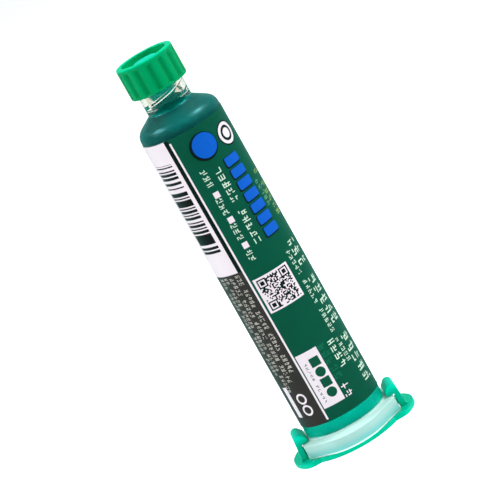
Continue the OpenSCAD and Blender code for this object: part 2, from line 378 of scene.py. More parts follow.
def make_barrel():
    """Tube, coned shoulder, lock collar and nozzle turned as one, with flange and thread added."""
    inner_cone = tube_top + cone_rise(bore_r, bore_round, passage_r)
    # Rings that break the shoulder's long faces, so that its shading stays even
    cone_rings = [
        (x, tube_top + cone_rise(barrel_r, shoulder_round, x), 0) for x in (7.6, 7.1, 6.6, 6.1, 5.7)
    ]
    barrel = lathe("barrel_moulding", [
        (bore_r + mouth_chamfer, flange_low, 0),
        (barrel_r, flange_low, 0),
        (barrel_r, flange_top - flange_fillet, 0),
        (barrel_r + flange_fillet, flange_top - flange_fillet, 0),
        (barrel_r + flange_fillet, flange_top, 0),
        (barrel_r, flange_top, flange_fillet - HAIR),
        (barrel_r, tube_top + cone_rise(barrel_r, shoulder_round, barrel_r), shoulder_round),
        *cone_rings,
        (collar_r, collar_z, 0.5),
        (collar_r, collar_top, 0.3),
        (collar_in, collar_top, 0.25),
        (collar_in, floor_z, 0.4),
        (nozzle_root_r, root_z, 0.3),
        (nozzle_r(nozzle_tip), nozzle_tip, 0.3),
        (passage_r, nozzle_tip, 0.1),
        (passage_r, inner_cone, 0.5),
        (bore_r, tube_top + cone_rise(bore_r, bore_round, bore_r), bore_round),
        (bore_r, flange_low + mouth_chamfer, 0),
    ])
    combine(barrel, make_flange(), "UNION")
    for start in range(thread_starts):
        combine(barrel, thread_ridge(start), "UNION")
    return barrel


def make_ink():
    """The fill: it wets the bore, the cone and the passage, and sits on the piston's nose."""
    wet_r = bore_r + wetting
    wet_passage = passage_r + wetting
    skirt_r = piston_r + ink_film
    skirt_z = piston_edge + ink_film + cone_rise(piston_r, piston_round, skirt_r)
    return lathe("solder_mask_fill", [
        (0, ink_nose_z, 0),
        (piston_nose_r, ink_nose_z, 0.3),
        (skirt_r, skirt_z, piston_round),
        (skirt_r, piston_edge, 0),
        (wet_r, piston_edge, 0),
        (wet_r, tube_top + cone_rise(wet_r, bore_round, wet_r), bore_round),
        (wet_passage, tube_top + cone_rise(wet_r, bore_round, wet_passage), 0.5),
        (wet_passage, ink_top, 0),
        (0, ink_top, 0),
    ], closed=False)


def make_piston():
    """Hollow follower with a coned nose and two wiper lips."""
    side_r = piston_r - piston_relief
    core_r = side_r - piston_wall
    inner_z = piston_edge - piston_wall / math.cos(slope)
    inner_nose_z = inner_z + cone_rise(core_r, piston_round, piston_nose_r)
    return lathe("piston_follower", [
        (0, piston_high.z, 0),
        (piston_nose_r, piston_high.z, 0.4),
        (piston_r, piston_edge + cone_rise(piston_r, piston_round, piston_r), piston_round),
        (piston_r, piston_edge - wiper_h, 0.15),
        (side_r, piston_edge - wiper_h - piston_relief, 0.2),
        (side_r, piston_back + wiper_h + piston_relief, 0.2),
        (piston_r, piston_back + wiper_h, 0.15),
        (piston_r, piston_back, 0.2),
        (core_r, piston_back, 0.3),
        (core_r, inner_z + cone_rise(core_r, piston_round, core_r), piston_round),
        (piston_nose_r, inner_nose_z, 0.4),
        (0, inner_nose_z, 0),
    ], closed=False)


def flute_fade(z):
    """How deep the flutes are at height z: they fade out under the rim and at the foot."""
    below_rim = (flute_top - z) / flute_top_fade
    above_foot = (z - flute_foot) / flute_foot_fade
    share = max(0, min(1, below_rim, above_foot))
    return share * share * (3 - 2 * share)


def flute_depths(cap):
    """Each depth that a flute has on the ring's side, and the vertices that lie that deep."""
    spacing = 2 * math.pi / flute_count
    depths = {}
    for vertex in cap.data.vertices:
        x, y, z = vertex.co / MM
        off = (math.atan2(x, -y) + spacing / 2) % spacing - spacing / 2
        if math.hypot(x, y) < tip_r - HAIR or abs(off) >= flute_half:
            continue
        swell = (1 + math.cos(math.pi * off / flute_half)) / 2
        depth = round(flute_depth * swell * flute_fade(z), 3)
        if depth > 0:
            depths.setdefault(depth, []).append(vertex.index)
    return depths


def cut_flutes(cap):
    """Draws the ring's side in towards the axis along each flute, one depth at a time."""
    bpy.context.view_layer.objects.active = cap
    for depth, indices in sorted(flute_depths(cap).items()):
        for part in (cap.data.polygons, cap.data.edges, cap.data.vertices):
            part.foreach_set("select", [False] * len(part))
        for index in indices:
            cap.data.vertices[index].select = True
        bpy.ops.object.mode_set(mode="EDIT")
        shrink = (tip_r - depth) / tip_r
        bpy.ops.transform.resize(value=(shrink, shrink, 1), center_override=(0, 0, 0))
        bpy.ops.object.mode_set(mode="OBJECT")


def make_lug(side_turn):
    """One of the two lugs on the stem that run in the lock collar's thread."""
    spread = math.degrees(lug_w / 2 / lug_r)
    outer = arc(0, 0, lug_r, side_turn - spread, side_turn + spread, 8)
    inner = arc(0, 0, stem_r - lug_sunk, side_turn + spread, side_turn - spread, 8)
    return prism("lug", lifted(outer + inner, taper_top + lug_rise), Vector((0, 0, lug_h)), lug_edge)


def make_tip_cap():
    """Fluted ring, recessed top with its boss, and the stem whose socket seals on the nozzle."""
    # Points up the ring's side, close together where the flutes fade, and one on each round
    rows = 5
    fading_foot, fading_rim = 0.55, 1.05
    foot_rows = [tip_bottom + foot_round + fading_foot * k / rows for k in range(rows + 1)]
    rim_rows = [tip_top - rim_round - fading_rim * k / rows for k in range(rows, -1, -1)]
    on_foot, on_rim = 0.09, 0.1
    cap = lathe("tip_cap_moulding", [
        (0, socket_top, 0),
        (nozzle_r(socket_top) + socket_fit, socket_top, 0.2),
        (nozzle_r(stem_end) + socket_fit, stem_end, 0.1),
        (stem_end_r, stem_end, 0.12),
        (stem_r, taper_top, 0.5),
        (stem_r, web_low, 0.3),
        (ring_in, web_low, 0.3),
        (ring_in, tip_bottom, 0.2),
        (tip_r - foot_round, tip_bottom, 0),
        (tip_r - on_foot, tip_bottom + on_foot, 0),
        *[(tip_r, z, 0) for z in foot_rows + rim_rows],
        (tip_r - on_rim, tip_top - on_rim, 0),
        (tip_r - rim_round, tip_top, 0),
        (recess_r, tip_top, 0.25),
        (recess_r, web_top, 0.4),
        (boss_r, web_top, 0.3),
        (boss_r, boss_top, 0.35),
        (0, boss_top, 0),
    ], closed=False, steps=flute_count * flute_steps)
    cut_flutes(cap)
    for side_turn in (0, 180):
        combine(cap, make_lug(side_turn), "UNION")
    return cap


def plate_outline():
    """The round base plate with an ear at each end of X."""
    meet_x = math.sqrt(plate_r ** 2 - ear_half ** 2)
    meet = math.degrees(math.asin(ear_half / plate_r))
    centre_x = ears_x - ear_round
    corner_y = ear_half - ear_corner
    reach = ear_round - ear_corner
    corner_x = centre_x + math.sqrt(reach ** 2 - corner_y ** 2)
    touch = math.degrees(math.atan2(corner_y, corner_x - centre_x))
    ear = (
        [Vector((meet_x, -ear_half, 0))]
        + arc(corner_x, -corner_y, ear_corner, -90, -touch, 8)
        + arc(centre_x, 0, ear_round, -touch, touch, 16)[1:-1]
        + arc(corner_x, corner_y, ear_corner, touch, 90, 8)
        + [Vector((meet_x, ear_half, 0))]
    )
    back = arc(0, 0, plate_r, meet, 180 - meet, 40)[1:-1]
    front = [Vector((-p.x, -p.y, 0)) for p in back]
    far_ear = [Vector((-p.x, -p.y, 0)) for p in ear]
    return ear + back + far_ear + front


def make_hook(side):
    """One hook, drawn from the side: stalk, ramped lip, round top and a fillet at its foot."""
    top_x = hook_out - hook_lean - hook_round
    top_z = hook_top - hook_round
    ramp_z = lip_z + lip_edge
    slant = math.hypot(top_x - lip_x, top_z - ramp_z)
    ramp = math.atan2(top_z - ramp_z, top_x - lip_x) + math.asin(hook_round / slant)
    foot_low = plate_t * 0.3  # inside the plate
    foot_top = plate_t - 2 * HAIR
    foot_x = hook_out + hook_fillet
    foot_end = foot_x + 0.4  # a little past the fillet
    outline = (
        [Vector((hook_in, foot_low, 0)), Vector((foot_end, foot_low, 0))]
        + [Vector((foot_end, foot_top, 0))]
        + arc(foot_x, foot_top + hook_fillet, hook_fillet, 270, 180, 6)
        + arc(top_x, top_z, hook_round, 0, 90 + math.degrees(ramp), 10)
        + [Vector((lip_x, ramp_z, 0)), Vector((lip_x, lip_z, 0)), Vector((hook_in, lip_z, 0))]
    )
    points = [Vector((side * p.x, -hook_w / 2, p.y)) for p in outline]
    return prism("hook", points, Vector((0, hook_w, 0)), hook_edge)


def make_plug():
    """The closed plug, drawn solid: its broad band wipes the bore, between two tapers."""
    plug_root = plate_t / 2
    body_r = plug_r - plug_relief
    wipe_r = bore_r + wetting
    flank = band_end / 2
    band_low = plate_t + band_end + flank
    return lathe("plug", [
        (0, plug_root, 0),
        (body_r, plug_root, 0),
        (body_r, band_low - flank, 0.2),
        (wipe_r, band_low, 0.2),
        (wipe_r, plug_top - band_end, 0.3),
        (body_r - plug_relief, plug_top, 0.35),
        (0, plug_top, 0),
    ], closed=False)


def make_cup():
    """The solid that is cut from the plug to hollow it from below."""
    cup_r = plug_r - plug_relief - plug_wall
    cup_top = plug_top - plug_wall
    return lathe("cup", [
        (0, -CUT_PAST, 0),
        (cup_r, -CUT_PAST, 0),
        (cup_r, cup_top, 0.5),
        (0, cup_top, 0),
    ], closed=False)


def make_window(side):
    """The solid that is cut from the plate below one hook's lip, as its moulding window."""
    half = hook_w / 2 - window_inset
    near = side * lip_x
    far = side * (hook_in - window_inset)
    corners = ((near, -half), (far, -half), (far, half), (near, half))
    outline = [Vector((x, y, -CUT_PAST)) for x, y in corners]
    return prism("window", outline, Vector((0, 0, plate_t + 2 * CUT_PAST)), window_edge)


def make_end_cap():
    """Base plate with two ears and hooks, and the plug that stops the barrel's mouth."""
    cap = prism("end_cap_moulding", plate_outline(), Vector((0, 0, plate_t)), plate_edge)
    for side in (-1, 1):
        combine(cap, make_hook(side), "UNION")
    combine(cap, make_plug(), "UNION")
    combine(cap, make_cup(), "DIFFERENCE")
    for side in (-1, 1):
        combine(cap, make_window(side), "DIFFERENCE")
    return cap


def make_label():
    """A film wrapped round the tube, open along a narrow strip at the back."""
    gap = label_gap / label_r
    start = math.pi / 2 + gap / 2
    inner = label_r - label_t
    turned = []
    for r, z in (
        (inner, label_low.z),
        (label_r, label_low.z),
        (label_r, label_high.z),
        (inner, label_high.z),
    ):
        turned.append(Vector((r * math.cos(start), r * math.sin(start), z)))
    label = draw_line("label_film", turned, True)
    bpy.ops.mesh.edge_face_add()
    bpy.ops.mesh.spin(
        steps=ROUND_STEPS, angle=2 * math.pi - gap, center=(0, 0, 0), axis=(0, 0, 1)
    )
    close_up()
    lay_out(label)
    return label


def lay_out(label):
    """A UV map in millimetres: across from the front's middle, and up from the bench."""
    middle = (label_low.z + label_high.z) / 2
    flat = label.data.uv_layers.new(name="label_mm")
    for corner in label.data.loops:
        x, y, z = label.data.vertices[corner.vertex_index].co / MM
        across = label_r * math.atan2(x, -y)
        flat.data[corner.index].uv = (across + label_askew * (z - middle), z)


# Materials

def colour(code):
    """A linear colour from sRGB hex."""
    levels = []
    for i in (0, 2, 4):
        value = int(code[i:i + 2], 16) / 255
        levels.append(value / 12.92 if value <= 0.04045 else ((value + 0.055) / 1.055) ** 2.4)
    return (*levels, 1)


def add(tree, kind, settings=None, **inputs):
    """Adds a node with its settings. An input, by name or as i0, is a value or a socket to link."""
    made = tree.nodes.new(kind)
    for name, value in (settings or {}).items():
        setattr(made, name, value)
    for name, value in inputs.items():
        key = int(name[1:]) if name[1:].isdigit() else name.replace("_", " ")
        if isinstance(value, bpy.types.NodeSocket):
            tree.links.new(value, made.inputs[key])
        else:
            made.inputs[key].default_value = value
    return made


def start_material(name, **shader_inputs):
    """A material with one Principled shader on its output, and the tree and shader."""
    material = bpy.data.materials.new(name)
    material.use_nodes = True
    tree = material.node_tree
    tree.nodes.clear()
    shader = add(tree, "ShaderNodeBsdfPrincipled", **shader_inputs)
    out = add(tree, "ShaderNodeOutputMaterial")
    tree.links.new(shader.outputs[0], out.inputs["Surface"])
    return material, tree, shader


def moulded(name, base, pale, grain_mm, depth_mm, **shader_inputs):
    """Satin injection-moulded plastic: a faint drift of colour and the mould's fine texture.

    The real texture is too fine for the render to show, so its grain is drawn coarser.
    """
    drift_mm = 6
    material, tree, shader = start_material(name, **shader_inputs)
    place = add(tree, "ShaderNodeTexCoord").outputs["Object"]
    drift = add(tree, "ShaderNodeTexNoise", Vector=place, Scale=1 / (drift_mm * MM), Detail=3.0)
    tint = add(
        tree, "ShaderNodeMix", {"data_type": "RGBA"},
        i0=drift.outputs["Fac"], i6=colour(base), i7=colour(pale),
    )
    tree.links.new(tint.outputs[2], shader.inputs["Base Color"])
    grain = add(tree, "ShaderNodeTexNoise", Vector=place, Scale=1 / (grain_mm * MM), Detail=2.0)
    bump = add(
        tree, "ShaderNodeBump", Height=grain.outputs["Fac"], Strength=0.5, Distance=depth_mm * MM
    )
    tree.links.new(bump.outputs[0], shader.inputs["Normal"])
    return material


def both(tree, first, second):
    """1 where two masks both hold."""
    return add(tree, "ShaderNodeMath", {"operation": "MULTIPLY"}, i0=first, i1=second).outputs[0]


def span(tree, along, low, high):
    """1 between two values of a coordinate, and 0 outside them."""
    return add(
        tree, "ShaderNodeMath", {"operation": "COMPARE"},
        i0=along, i1=(low + high) / 2, i2=(high - low) / 2,
    ).outputs[0]


def field(tree, place, left, right, low, high):
    """1 inside a rectangle of two coordinates."""
    return both(tree, span(tree, place[0], left, right), span(tree, place[1], low, high))


def round_place(tree):
    """A point's distance from the barrel's axis, and its height."""
    place = add(tree, "ShaderNodeTexCoord").outputs["Object"]
    level = add(tree, "ShaderNodeVectorMath", {"operation": "MULTIPLY"}, i0=place, i1=(1, 1, 0))
    reach = add(tree, "ShaderNodeVectorMath", {"operation": "LENGTH"}, i0=level.outputs[0])
    height = add(tree, "ShaderNodeSeparateXYZ", Vector=place)
    return reach.outputs["Value"], height.outputs["Z"]


def layer(material, share, tint):
    """Lays a tint over the colour that a moulded material has so far."""
    tree = material.node_tree
    body = tree.nodes["Principled BSDF"].inputs["Base Color"]
    laid = add(
        tree, "ShaderNodeMix", {"data_type": "RGBA"},
        i0=share, i6=body.links[0].from_socket, i7=colour(tint),
    )
    tree.links.new(laid.outputs[2], body)


def fade_in(material, along, start, end, tint):
    """Lays a tint that comes in smoothly between two places, in millimetres."""
    rise = add(
        material.node_tree, "ShaderNodeMapRange", {"interpolation_type": "SMOOTHSTEP"},
        Value=along, From_Min=start * MM, From_Max=end * MM,
    )
    layer(material, rise.outputs["Result"], tint)


def clear_polypropylene(name, tint, roughness):
    """Thin clear polypropylene: see-through, with reflections that lean to the ink's teal.

    Shadow rays pass straight through it, so that the lamps light what it holds.
    """
    material, tree, shader = start_material(
        name, Base_Color=colour(tint), Roughness=roughness, IOR=1.49, Transmission_Weight=1.0,
        Specular_Tint=colour("70F4FF"),
    )
    lets_light = add(tree, "ShaderNodeBsdfTransparent", Color=colour("FBFDFC"))
    path = add(tree, "ShaderNodeLightPath")
    wall = add(
        tree, "ShaderNodeMixShader",
        i0=path.outputs["Is Shadow Ray"], i1=shader.outputs[0], i2=lets_light.outputs[0],
    )
    tree.links.new(wall.outputs[0], tree.nodes["Material Output"].inputs["Surface"])
    return material


def tube_polypropylene():
    """The tube and the shoulder, wetted inside by the ink: broad, soft highlights."""
    return clear_polypropylene("clear_moulded_polypropylene", "F4FBF8", 0.28)


def collar_polypropylene():
    """The empty lock collar and the nozzle: glassy, with crisp glints along the thread."""
    return clear_polypropylene("glossy_clear_moulded_polypropylene", "DCDFD6", 0.08)


def stained_polypropylene():
    """The lock collar's floor, stained by the ink below it: opaque teal with hardly a gloss."""
    return moulded(
        "ink_stained_moulded_polypropylene", "009A8E", "00A69A", grain_mm=0.6, depth_mm=0.004,
        Roughness=0.4, Specular_IOR_Level=0.1,
    )


def milky_polypropylene():
    """The flange, the same polypropylene where it is thick: milky, with painted light on its rims."""
    material = moulded(
        "thick_milky_polypropylene", "A4CEC8", "AED6D1", grain_mm=0.4, depth_mm=0.01,
        Roughness=0.3, IOR=1.49, Specular_IOR_Level=0.3,
        Subsurface_Weight=0.7, Subsurface_Radius=(1, 1, 1), Subsurface_Scale=1.6 * MM,
    )
    height = round_place(material.node_tree)[1]
    # Deeper towards the end cap, with a painted highlight along the lower rim and painted light on the
    # top face
    for start, end, tint in (
        (flange_low + 2.4, flange_low + 0.6, "7CC8C4"),
        (flange_low + 0.45, flange_low + 0.2, "E6FFFA"),
        (flange_top - 0.2, flange_top, "D0F4EE"),
    ):
        fade_in(material, height, start, end, tint)
    return material


def natural_polyethylene():
    """The piston's natural polyethylene: an undyed, waxy off-white with a dull sheen."""
    return moulded(
        "natural_moulded_polyethylene", "E4E4DA", "EEEEE6", grain_mm=0.5, depth_mm=0.01,
        Roughness=0.45,
    )


def sea_green_polyethylene():
    """Sea-green polyethylene, with painted light: the plug, the hooks' tops and the ears' rims are
    painted paler.
    """
    material = moulded(
        "sea_green_moulded_polyethylene", "00B892", "00C29C", grain_mm=0.4, depth_mm=0.012,
        Roughness=0.36, Specular_IOR_Level=0.12, Specular_Tint=colour("40FFF0"),
    )
    tree = material.node_tree
    reach, height = round_place(tree)
    # Painted light: the plug, seen through the barrel's wall, is painted paler
    within = add(
        tree, "ShaderNodeMath", {"operation": "LESS_THAN"}, i0=reach, i1=(bore_r + 0.1) * MM
    )
    above = add(
        tree, "ShaderNodeMath", {"operation": "GREATER_THAN"}, i0=height, i1=(plate_t + 0.2) * MM
    )
    layer(material, both(tree, within.outputs[0], above.outputs[0]), "00EED0")
    # Painted light: the hooks' tops and the ears' rims are painted paler, as if lit from above
    top = add(
        tree, "ShaderNodeMapRange", {"interpolation_type": "SMOOTHSTEP"},
        Value=height, From_Min=(hook_top - 2.2) * MM, From_Max=(hook_top - 0.4) * MM,
    )
    ear = add(
        tree, "ShaderNodeMapRange", {"interpolation_type": "SMOOTHSTEP"},
        Value=reach, From_Min=(ears_x - 1.8) * MM, From_Max=(ears_x - 0.6) * MM, To_Max=0.35,
    )
    edge = add(
        tree, "ShaderNodeMath", {"operation": "MAXIMUM"},
        i0=top.outputs["Result"], i1=ear.outputs["Result"],
    )
    beyond = add(tree, "ShaderNodeMath", {"operation": "SUBTRACT"}, i0=1.0, i1=within.outputs[0])
    layer(material, both(tree, edge.outputs[0], beyond.outputs[0]), "00E2BE")
    return material


def green_polypropylene():
    """Green polypropylene: painted shade in the flutes, painted light on rim, recess and boss, a teal
    stem.
    """
    material = moulded(
        "green_moulded_polypropylene", "009358", "009C60", grain_mm=0.35, depth_mm=0.01,
        Roughness=0.34, Specular_IOR_Level=0.12, Specular_Tint=colour("40FFD8"),
    )
    tree = material.node_tree
    reach, height = round_place(tree)
    # Painted shade, darkest along the bottom of each flute
    off = add(
        tree, "ShaderNodeMath", {"operation": "SUBTRACT"}, i0=reach, i1=(tip_r - flute_depth) * MM
    )
    away = add(tree, "ShaderNodeMath", {"operation": "ABSOLUTE"}, i0=off.outputs[0])
    groove_shade = add(
        tree, "ShaderNodeMapRange",
        Value=away.outputs[0], From_Min=flute_depth * MM, From_Max=0.0, To_Max=0.8,
    )
    layer(material, groove_shade.outputs["Result"], "007C42")
    # Painted light on the rim's top
    fade_in(material, height, tip_top - 0.5, tip_top - 0.1, "00CE94")
    # Painted light in the recess, a painted highlight on the boss's top, and a teal tint on the stem
    for furthest, lowest, highest, tint in (
        (recess_r + 0.1, web_top - 0.1, tip_top - 0.4, "00BC76"),
        (boss_r + 0.1, boss_top - 0.3, tip_top - 0.4, "0CD8BE"),
        (stem_r + 0.6, stem_end - 0.1, web_low - 0.2, "00C8B0"),
    ):
        zone = field(tree, (reach, height), 0, furthest * MM, lowest * MM, highest * MM)
        layer(material, zone, tint)
    return material


def solder_mask_paste():
    """Green solder mask ink wetting the wall: a deep teal with hardly a gloss, and painted light in the
    neck.
    """
    material = moulded(
        "wet_solder_mask_paste", "005A57", "006460", grain_mm=2.0, depth_mm=0.004,
        Roughness=0.4, IOR=1.5, Specular_IOR_Level=0.1,
    )
    # Painted light: paler within the neck and the nozzle, where the collar's foot would look shaded
    fade_in(material, round_place(material.node_tree)[0], 4.4, 3.0, "00B0A8")
    return material


# The label's print, on its map in millimetres: across from the front's middle, and up

WHITE = "E6DBE4"
BLACK = "0B1A16"
CHARCOAL = "353030"
BLUE = "0056C4"
PALE_GREEN = "C6E0CE"
DARK_GREEN = "08523C"


def counted(tree, along, start, step):
    """Which cell of a row a point lies in, and how far along that cell it is."""
    moved = add(tree, "ShaderNodeMath", {"operation": "SUBTRACT"}, i0=along, i1=start)
    cells = add(tree, "ShaderNodeMath", {"operation": "DIVIDE"}, i0=moved.outputs[0], i1=step)
    whole = add(tree, "ShaderNodeMath", {"operation": "FLOOR"}, i0=cells.outputs[0])
    part = add(tree, "ShaderNodeMath", {"operation": "FRACT"}, i0=cells.outputs[0])
    return whole.outputs[0], part.outputs[0]


def chance(tree, column, row, share, seed):
    """1 in a share of the cells, picked at random."""
    cell = add(tree, "ShaderNodeCombineXYZ", X=column, Y=row, Z=seed)
    noise = add(tree, "ShaderNodeTexWhiteNoise", {"noise_dimensions": "3D"}, Vector=cell.outputs[0])
    return add(
        tree, "ShaderNodeMath", {"operation": "LESS_THAN"}, i0=noise.outputs["Value"], i1=share
    ).outputs[0]


def marks(tree, place, left, right, low, high, rows, seed):
    """A line of small chance strokes, upright and level, grouped as letters and words are."""
    stroke = 0.4
    level_share = 0.62
    upright_share = 0.55
    letter_cells = 3
    letter_fill = 0.6
    word_cells = 18
    word_fill = 0.8
    size = (right - left) / rows
    column, across_cell = counted(tree, place[0], left, size)
    row, along_cell = counted(tree, place[1], low, size)
    level = both(
        tree, chance(tree, column, row, level_share, seed), span(tree, along_cell, 0, stroke)
    )
    upright = both(
        tree, chance(tree, column, row, upright_share, seed + 0.5), span(tree, across_cell, 0, stroke)
    )
    drawn = add(tree, "ShaderNodeMath", {"operation": "MAXIMUM"}, i0=level, i1=upright).outputs[0]
    for cells, fill in ((letter_cells, letter_fill), (word_cells, word_fill)):
        within = counted(tree, row, 0, cells)[1]
        drawn = both(tree, drawn, span(tree, within, 0, fill))
    return both(tree, drawn, field(tree, place, left, right, low, high))


def bars(tree, place, left, right, low, high, step, seed):
    """Bars of chance widths, one above the other."""
    bar_share = 0.52
    row = counted(tree, place[1], low, step)[0]
    return both(
        tree, chance(tree, 0.0, row, bar_share, seed), field(tree, place, left, right, low, high)
    )


def tiles(tree, place, left, right, low, step, count, gap, corner):
    """A row of equal tiles with rounded corners."""
    along_tile = counted(tree, place[1], low, step)[1]
    past_flat = []
    for along, centre, half, scale in (
        (place[0], (left + right) / 2, (right - left) / 2 - corner, 1.0),
        (along_tile, 0.5, (step - gap) / 2 - corner, step),
    ):
        off = add(tree, "ShaderNodeMath", {"operation": "SUBTRACT"}, i0=along, i1=centre)
        real = add(tree, "ShaderNodeMath", {"operation": "MULTIPLY"}, i0=off.outputs[0], i1=scale)
        size = add(tree, "ShaderNodeMath", {"operation": "ABSOLUTE"}, i0=real.outputs[0])
        past = add(tree, "ShaderNodeMath", {"operation": "SUBTRACT"}, i0=size.outputs[0], i1=half)
        kept = add(tree, "ShaderNodeMath", {"operation": "MAXIMUM"}, i0=past.outputs[0], i1=0.0)
        past_flat.append(kept.outputs[0])
    reach = add(tree, "ShaderNodeCombineXYZ", X=past_flat[0], Y=past_flat[1])
    length = add(tree, "ShaderNodeVectorMath", {"operation": "LENGTH"}, i0=reach.outputs[0])
    inside = add(
        tree, "ShaderNodeMath", {"operation": "LESS_THAN"}, i0=length.outputs["Value"], i1=corner
    )
    return both(tree, inside.outputs[0], span(tree, place[1], low, low + step * count))


def ring(tree, place, across, up, inner, outer):
    """1 between two radii round a point of the print; a disc where the inner one is 0."""
    point = add(tree, "ShaderNodeCombineXYZ", X=place[0], Y=place[1])
    away = add(
        tree, "ShaderNodeVectorMath", {"operation": "DISTANCE"}, i0=point.outputs[0], i1=(across, up, 0)
    )
    return span(tree, away.outputs["Value"], inner, outer)


def side_panels(tree, place):
    """A white panel of bars over a charcoal one, and the two rules beside them."""
    far_left, rule_left, rule_right = -21, -5.1, -4.1
    split, above = 45.1, 80
    return [
        (CHARCOAL, field(tree, place, far_left, rule_right, 0, split)),
        (WHITE, field(tree, place, far_left, rule_left, split, above)),
        (BLACK, field(tree, place, rule_left, rule_right, split, above)),
        (WHITE, field(tree, place, rule_right, -3.65, 8, 76.2)),
        ("141414", bars(tree, place, -12.0, -6.1, 50.4, 72.2, 0.31, 1.0)),
    ]


def discs_and_tiles(tree, place):
    """A blue disc and seven blue tiles, each over a dark one, and a white disc with a dark ring."""
    return [
        (BLACK, ring(tree, place, 2.2, 72.4, 0, 3.15)),
        (BLUE, ring(tree, place, 2.45, 72.5, 0, 2.75)),
        (BLACK, tiles(tree, place, 4.15, 8.3, 48.3, 2.83, 7, 0.35, 0.5)),
        (BLUE, tiles(tree, place, 4.5, 8.35, 48.4, 2.83, 7, 0.75, 0.4)),
        (BLACK, ring(tree, place, 8.75, 72.0, 0, 2.75)),
        (WHITE, ring(tree, place, 8.75, 72.0, 0, 2.4)),
        (BLACK, ring(tree, place, 8.75, 72.0, 1.1, 1.7)),
    ]


def stroke_lines(tree, place):
    """Lines of small strokes on the green, and three small white boxes between them."""
    layers = []
    for ink, left, right, low, high, rows, seed in (
        (PALE_GREEN, 1.5, 3.2, 48.9, 67.7, 3, 2.0),
        (PALE_GREEN, -1.4, 0.0, 64.3, 68.1, 3, 3.0),
        (PALE_GREEN, -1.4, 0.0, 57.5, 61.2, 3, 4.0),
        (PALE_GREEN, -1.4, 0.0, 51.4, 55.0, 3, 5.0),
        (PALE_GREEN, -1.4, 0.0, 46.2, 48.9, 3, 6.0),
        ("5E9C86", 9.1, 10.4, 54.0, 61.8, 3, 7.0),
        ("8CA85A", 10.7, 12.9, 51.0, 61.8, 4, 8.0),
        (PALE_GREEN, 6.6, 7.8, 16.6, 45.2, 3, 9.0),
        ("C5DDCB", 8.4, 11.6, 10.6, 45.2, 4, 10.0),
        (PALE_GREEN, 4.3, 6.1, 16.5, 23.6, 3, 11.0),
        ("0E6B4F", 1.95, 3.75, 14.9, 23.6, 3, 12.0),
        (WHITE, 2.05, 3.8, 10.4, 13.6, 3, 13.0),
    ):
        layers.append((ink, marks(tree, place, left, right, low, high, rows, seed)))
    for low in (61.4, 55.3, 49.1):
        layers.append((WHITE, field(tree, place, -1.2, 0.1, low, low + 1.4)))
    return layers


def speckled_square(tree, place):
    """A white square of random cells, with a plain dark square in three corners."""
    cell, left, low = 0.294, -2.55, 34.5
    side = 25 * cell
    corner = 7 * cell
    column = counted(tree, place[0], left, cell)[0]
    row = counted(tree, place[1], low, cell)[0]
    speckled = field(tree, place, left, left + side, low, low + side)
    layers = [
        (WHITE, field(tree, place, -3.13, 5.27, 34.1, 42.3)),
        (BLACK, both(tree, chance(tree, column, row, 0.5, 14.0), speckled)),
    ]
    far_left = left + side - corner
    far_low = low + side - corner
    for x, y in ((left, low), (left, far_low), (far_left, far_low)):
        for edge, shade in ((0, BLACK), (cell, WHITE), (2 * cell, BLACK)):
            square = field(tree, place, x + edge, x + corner - edge, y + edge, y + corner - edge)
            layers.append((shade, square))
    return layers


def box_of_shapes(tree, place):
    """A white box with four dark shapes, discs and squares in turn, and a fine line of strokes."""
    layers = [(WHITE, field(tree, place, -3.37, 1.63, 10.4, 23.4))]
    for k, up in enumerate((20.6, 18.1, 15.6, 13.1)):
        if k % 2:
            layers.append((DARK_GREEN, ring(tree, place, -0.1, up, 0, 1.12)))
        else:
            layers.append((DARK_GREEN, field(tree, place, -1.2, 1.0, up - 1.05, up + 1.05)))
    layers.append(("2A5A4A", marks(tree, place, -2.55, -1.95, 11.6, 22.4, 2, 15.0)))
    return layers


def charcoal_print(tree, place):
    """Columns of fine strokes, two rings and a bar on the charcoal panel."""
    layers = []
    for left, right, low, seed in (
        (-6.3, -5.1, 20.7, 16.0),
        (-8.1, -6.9, 18.6, 17.0),
        (-9.9, -8.7, 16.3, 18.0),
        (-11.5, -10.3, 20.6, 19.0),
    ):
        layers.append(("C8C4BC", marks(tree, place, left, right, low, 44.6, 4, seed)))
    for up in (14.2, 11.4):
        layers.append((WHITE, ring(tree, place, -7.2, up, 0.85, 1.3)))
    layers.append((WHITE, field(tree, place, -11.4, -9.9, 10.0, 17.5)))
    return layers


def printed_film():
    """Laminated polypropylene film, printed: clean flat inks under a satin gloss."""
    drift_mm = 4
    ripples_per_mm = 0.6
    material, tree, shader = start_material(
        "laminated_printed_film", Roughness=0.36, Specular_IOR_Level=0.25,
        Specular_Tint=colour("A0FFE0"),
    )
    flat = add(tree, "ShaderNodeUVMap", {"uv_map": "label_mm"}).outputs[0]
    split = add(tree, "ShaderNodeSeparateXYZ", Vector=flat)
    place = (split.outputs["X"], split.outputs["Y"])
    drift = add(
        tree, "ShaderNodeTexNoise", {"noise_dimensions": "2D"},
        Vector=flat, Scale=1 / drift_mm, Detail=2.0,
    )
    shown = add(
        tree, "ShaderNodeMix", {"data_type": "RGBA"},
        i0=drift.outputs["Fac"], i6=colour("004D39"), i7=colour("00543E"),
    ).outputs[2]
    for printed in (
        side_panels, discs_and_tiles, stroke_lines, speckled_square, box_of_shapes, charcoal_print
    ):
        for ink, where in printed(tree, place):
            shown = add(
                tree, "ShaderNodeMix", {"data_type": "RGBA"}, i0=where, i6=shown, i7=colour(ink)
            ).outputs[2]
    tree.links.new(shown, shader.inputs["Base Color"])
    ripple = add(
        tree, "ShaderNodeTexNoise", {"noise_dimensions": "2D"},
        Vector=flat, Scale=ripples_per_mm, Detail=3.0,
    )
    bump = add(
        tree, "ShaderNodeBump", Height=ripple.outputs["Fac"], Strength=0.4, Distance=0.01 * MM
    )
    tree.links.new(bump.outputs[0], shader.inputs["Normal"])
    return material


# Camera, floor and light

target = Vector((0, 0, 47 * MM))  # what the camera and the lamps point at


